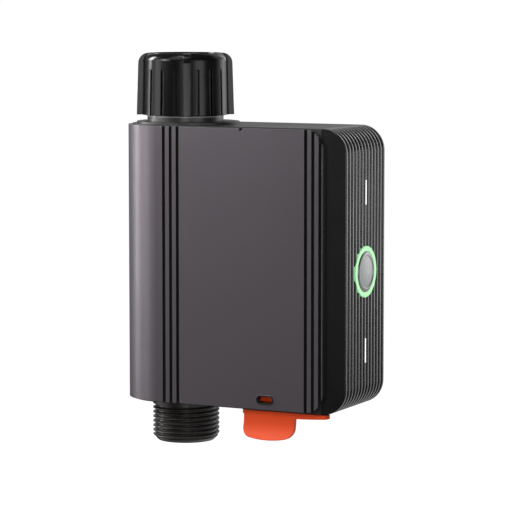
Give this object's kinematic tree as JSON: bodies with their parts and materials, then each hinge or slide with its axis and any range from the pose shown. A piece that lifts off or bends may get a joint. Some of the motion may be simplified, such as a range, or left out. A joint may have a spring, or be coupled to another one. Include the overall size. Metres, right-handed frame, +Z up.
{
  "type": "smart water valve",
  "caption": "Battery-powered tap valve with a swivel inlet nut, male threaded outlet, grey wrapped case, finned front with a lit push button and a pull-out battery drawer.",
  "frame": {"origin": "on the pipe axis, at the plain land of the inlet thread, on the face of the washer that the tap seats on", "axes": "+Z up along the pipe axis towards the tap, +X towards the finned front with the button, +Y towards the rear side"},
  "size_m": [0.1016, 0.0402, 0.1536],
  "materials": {
    "case_black": "fine moulded texture",
    "wrap_grey": "satin metallic paint",
    "front_black": "gloss moulded",
    "pipe_black": "semi-gloss moulded, glass-filled",
    "nut_black": "semi-gloss moulded",
    "drawer_orange": "fine satin moulded",
    "ring_green": "translucent diffuser",
    "strip_white": "translucent diffuser",
    "button_silver": "fine blasted",
    "steel": "turned",
    "ball_chrome": "polished plate",
    "stem_brass": "turned",
    "seal_rubber": "moulded",
    "washer_rubber": "moulded",
    "slip_grey": "smooth",
    "seat_white": "machined",
    "gear_cream": "moulded",
    "gearbox_grey": "moulded",
    "board_green": "solder mask",
    "chip_black": "moulded",
    "led_white": "lens",
    "contact_nickel": "nickel plated",
    "cell_sleeve": "printed sleeve",
    "magnet_dark": "sintered",
    "lead_red": "extruded",
    "tray_black": "moulded"
  },
  "bodies": {
    "case": {"front_case_half": "case_black", "rear_case_half": "case_black", "case_screws": "steel", "front_seal": "seal_rubber", "wrap_shell": "wrap_grey", "finned_front": "front_black", "light_ring": "ring_green", "light_strips": "strip_white", "button_seal": "seal_rubber", "tact_switch": "chip_black", "control_board": "board_green", "board_screws": "steel", "status_leds": "led_white", "radio_module": "steel", "antenna": "contact_nickel", "motor_leads": "lead_red", "bay_contacts": "contact_nickel", "valve_body": "pipe_black", "inlet_tailpiece": "pipe_black", "tailpiece_oring": "seal_rubber", "slip_ring": "slip_grey", "inlet_washer": "washer_rubber", "filter_screen": "steel", "lower_seat": "seat_white", "upper_seat": "seat_white", "gear_shafts": "steel", "gearbox_base": "gearbox_grey", "gearbox_cover": "gearbox_grey", "gearbox_screws": "steel", "gear_motor": "steel", "motor_screws": "steel", "upper_spider": "seat_white", "lower_spider": "seat_white", "impeller_shaft": "steel", "flow_sensor_board": "board_green"},
    "nut": {"swivel_nut": "nut_black"},
    "ball": {"valve_ball": "ball_chrome", "valve_stem": "stem_brass", "stem_orings": "seal_rubber", "output_gear": "gear_cream"},
    "first_wheel": {"first_gear": "gear_cream"},
    "second_wheel": {"second_gear": "gear_cream"},
    "rotor": {"motor_pinion": "stem_brass", "motor_shaft": "steel"},
    "meter_rotor": {"flow_impeller": "seat_white", "impeller_magnet": "magnet_dark"},
    "button": {"power_button": "button_silver"},
    "plunger": {"switch_plunger": "gear_cream"},
    "drawer": {"battery_cover": "drawer_orange", "cover_gasket": "seal_rubber", "battery_tray": "tray_black", "battery_1": "cell_sleeve", "battery_2": "cell_sleeve", "battery_3": "cell_sleeve", "battery_4": "cell_sleeve", "cell_contacts": "contact_nickel", "tray_terminals": "contact_nickel"},
    "latch": {"latch_hook": "drawer_orange"}
  },
  "joints": [
    {"name": "nut_turn", "type": "hinge", "parent": "case", "child": "nut", "pos_m": [0, 0, 0], "axis": [0, 0, 1], "continuous": true},
    {"name": "ball_turn", "type": "hinge", "parent": "case", "child": "ball", "pos_m": [0, 0, -0.04035], "axis": [1, 0, 0], "range_deg": [0, 90]},
    {"name": "first_gear_turn", "type": "hinge", "parent": "case", "child": "first_wheel", "pos_m": [0.025, -0.00549, -0.02528], "axis": [1, 0, 0], "range_deg": [-270, 0]},
    {"name": "second_gear_turn", "type": "hinge", "parent": "case", "child": "second_wheel", "pos_m": [0.029, 0.00555, -0.02528], "axis": [1, 0, 0], "range_deg": [0, 720]},
    {"name": "motor_turn", "type": "hinge", "parent": "case", "child": "rotor", "pos_m": [0.031, 0.0073, -0.03516], "axis": [1, 0, 0], "range_deg": [-2160, 0]},
    {"name": "impeller_turn", "type": "hinge", "parent": "case", "child": "meter_rotor", "pos_m": [0, 0, -0.0856], "axis": [0, 0, 1], "continuous": true},
    {"name": "button_press", "type": "slide", "parent": "case", "child": "button", "axis": [-1, 0, 0], "range_m": [0, 0.0005], "stiffness_N_per_m": 600},
    {"name": "plunger_press", "type": "slide", "parent": "case", "child": "plunger", "axis": [-1, 0, 0], "range_m": [0, 0.00025]},
    {"name": "drawer_slide", "type": "slide", "parent": "case", "child": "drawer", "axis": [0, 0, -1], "range_m": [0, 0.065]},
    {"name": "latch_tilt", "type": "hinge", "parent": "drawer", "child": "latch", "pos_m": [0.0443, -0.0145, -0.12055], "axis": [1, 0, 0], "range_deg": [-15, 0], "stiffness_Nm_per_rad": 0.02}
  ],
  "couplings": [
    {"joint": "first_gear_turn", "follows": "ball_turn", "ratio": -3},
    {"joint": "second_gear_turn", "follows": "ball_turn", "ratio": 8},
    {"joint": "motor_turn", "follows": "ball_turn", "ratio": -24},
    {"joint": "plunger_press", "follows": "button_press", "ratio": 0.5}
  ]
}
